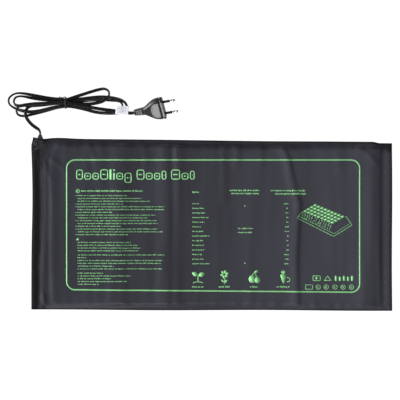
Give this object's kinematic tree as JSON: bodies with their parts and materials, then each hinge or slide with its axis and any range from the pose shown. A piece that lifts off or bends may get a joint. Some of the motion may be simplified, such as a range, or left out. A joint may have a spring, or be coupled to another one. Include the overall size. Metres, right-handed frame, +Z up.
{
  "type": "seedling heat mat",
  "caption": "Thin rectangular heated vinyl mat with a flat lead tied in a hank, ending in a flat two-pin plug.",
  "frame": {"origin": "centre of the mat's footprint on the surface that it lies on", "axes": "+X along the mat's long side, away from the end that the lead leaves; +Z up, the printed face up"},
  "size_m": [0.5627, 0.3276, 0.0261],
  "materials": {
    "vinyl_top": "satin",
    "vinyl_bottom": "satin",
    "foam": "matte",
    "felt": "matte",
    "foil": "satin",
    "tape": "matte",
    "wire_sheath": "satin",
    "fuse_metal": "satin",
    "fuse_sleeve": "matte",
    "black_plastic": "satin",
    "crimp_metal": "satin",
    "core_live": "satin",
    "core_neutral": "satin",
    "cord_vinyl": "satin",
    "tie_plastic": "satin",
    "tag_film": "satin",
    "print_ink": "satin",
    "plug_vinyl": "satin",
    "pin_metal": "polished"
  },
  "bodies": {
    "root": {"bottom_cover": "vinyl_bottom", "top_cover": "vinyl_top", "insulation_foam": "foam", "carrier_felt": "felt", "heat_foil": "foil", "wire_tape_1": "tape", "wire_tape_2": "tape", "wire_tape_3": "tape", "heating_wire": "wire_sheath", "return_lead": "wire_sheath", "thermal_fuse": "fuse_metal", "fuse_sleeve": "fuse_sleeve", "junction_base": "black_plastic", "junction_lid": "black_plastic", "splice_crimp_live": "crimp_metal", "splice_crimp_neutral": "crimp_metal", "lead_core_live": "core_live", "lead_core_neutral": "core_neutral", "cord_gland": "black_plastic", "mat_lead": "cord_vinyl", "cord_hank": "cord_vinyl", "plug_lead": "cord_vinyl", "twist_tie": "tie_plastic", "cord_tag": "tag_film", "plug_body": "plug_vinyl", "plug_bridge": "black_plastic", "pin_near": "pin_metal", "pin_far": "pin_metal", "pin_sleeve_near": "black_plastic", "pin_sleeve_far": "black_plastic", "pin_crimp_near": "crimp_metal", "pin_crimp_far": "crimp_metal"}
  },
  "joints": []
}
